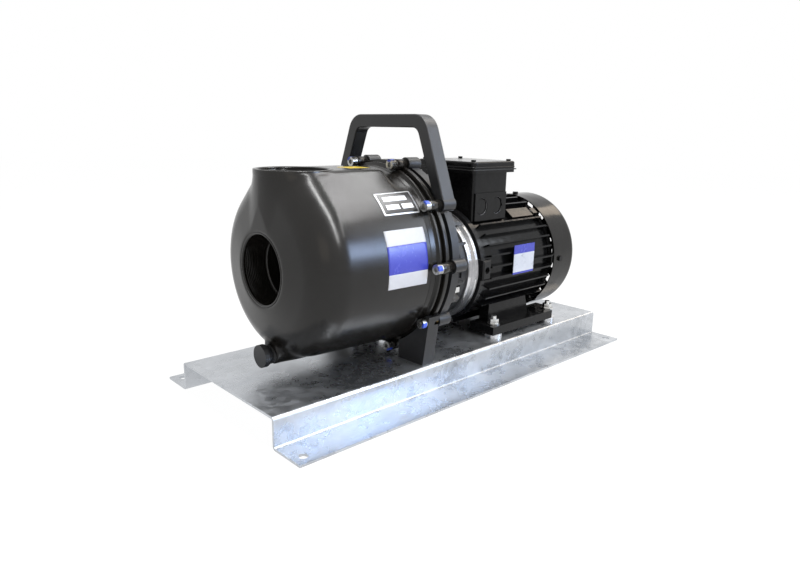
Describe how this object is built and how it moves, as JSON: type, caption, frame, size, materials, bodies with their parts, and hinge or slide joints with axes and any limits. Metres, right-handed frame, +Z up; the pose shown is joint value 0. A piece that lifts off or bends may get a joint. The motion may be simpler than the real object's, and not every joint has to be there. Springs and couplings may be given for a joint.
{
  "type": "chemical transfer pump",
  "caption": "Self-priming transfer pump in black polymer with clamped body, carrying handle, drain plug and close-coupled electric motor on a folded steel base.",
  "frame": {"origin": "middle of the base's underside, on the floor", "axes": "+Z up, +X along the shaft from the suction port to the fan, +Y towards the far side of the base"},
  "size_m": [0.65, 0.318, 0.362],
  "materials": {
    "galvanised_steel": "galvanised",
    "black_polymer": "satin",
    "black_composite": "matt",
    "stainless_steel": "satin",
    "brass_insert": "satin",
    "black_rubber": "matt",
    "black_enamel": "gloss",
    "cast_iron": "machined",
    "bright_steel": "ground",
    "copper_winding": "varnished",
    "black_plastic": "matt"
  },
  "bodies": {
    "root": {"base_plate": "galvanised_steel", "pump_body": "black_polymer", "valve_hinge_pin": "stainless_steel", "valve_pin_lugs": "black_polymer", "volute": "black_composite", "suction_duct": "black_composite", "seal_seat": "cast_iron", "body_joint_ring": "black_rubber", "adapter": "black_composite", "clamp_bolts": "stainless_steel", "clamp_inserts": "brass_insert", "flush_plug": "stainless_steel", "handle": "black_composite", "pump_foot": "black_composite", "pump_foot_screws": "stainless_steel", "motor_foot_bolts": "stainless_steel", "motor_foot_nuts": "stainless_steel", "motor_spacers": "bright_steel", "drive_end_shield": "black_enamel", "earth_screw_head": "stainless_steel", "rear_end_shield": "black_enamel", "motor_frame": "black_enamel", "tie_bolts": "stainless_steel", "motor_foot_right": "black_enamel", "motor_foot_left": "black_enamel", "fan_cowl": "black_enamel", "cowl_screws": "stainless_steel", "drive_bearing_outer": "bright_steel", "rear_bearing_outer": "bright_steel", "stator_core": "cast_iron", "windings": "copper_winding", "terminal_box": "black_enamel", "lid_gasket": "black_rubber", "terminal_box_lid": "black_enamel", "lid_screws": "black_enamel", "gland_plugs": "black_enamel", "terminal_board": "black_plastic", "terminal_studs": "brass_insert", "flange_bolts": "stainless_steel", "shaft_seal": "black_rubber"},
    "rotor": {"shaft": "bright_steel", "rotor_core": "cast_iron", "drive_bearing_inner": "bright_steel", "rear_bearing_inner": "bright_steel", "cooling_fan": "black_plastic", "impeller": "black_composite", "impeller_nut": "stainless_steel", "seal_rotary_head": "stainless_steel", "seal_spring": "stainless_steel", "water_slinger": "black_rubber"},
    "valve": {"check_valve_flap": "black_rubber", "check_valve_weight": "stainless_steel"},
    "drain_seal": {"drain_ring": "black_rubber"},
    "drain": {"drain_plug": "black_polymer"}
  },
  "joints": [
    {"name": "rotor_spin", "type": "hinge", "parent": "root", "child": "rotor", "pos_m": [0, 0, 0.145], "axis": [1, 0, 0], "continuous": true},
    {"name": "valve_swing", "type": "hinge", "parent": "root", "child": "valve", "pos_m": [-0.202, 0, 0.217], "axis": [0, -1, 0], "range_deg": [0, 45]},
    {"name": "drain_travel", "type": "slide", "parent": "root", "child": "drain_seal", "axis": [-1, 0, 0], "range_m": [0, 0.012]},
    {"name": "drain_turn", "type": "hinge", "parent": "drain_seal", "child": "drain", "pos_m": [-0.262, 0, 0.066], "axis": [-1, 0, 0], "range_deg": [0, 2160]}
  ],
  "couplings": [
    {"joint": "drain_turn", "follows": "drain_travel", "rad_per_m": 3141.6}
  ]
}
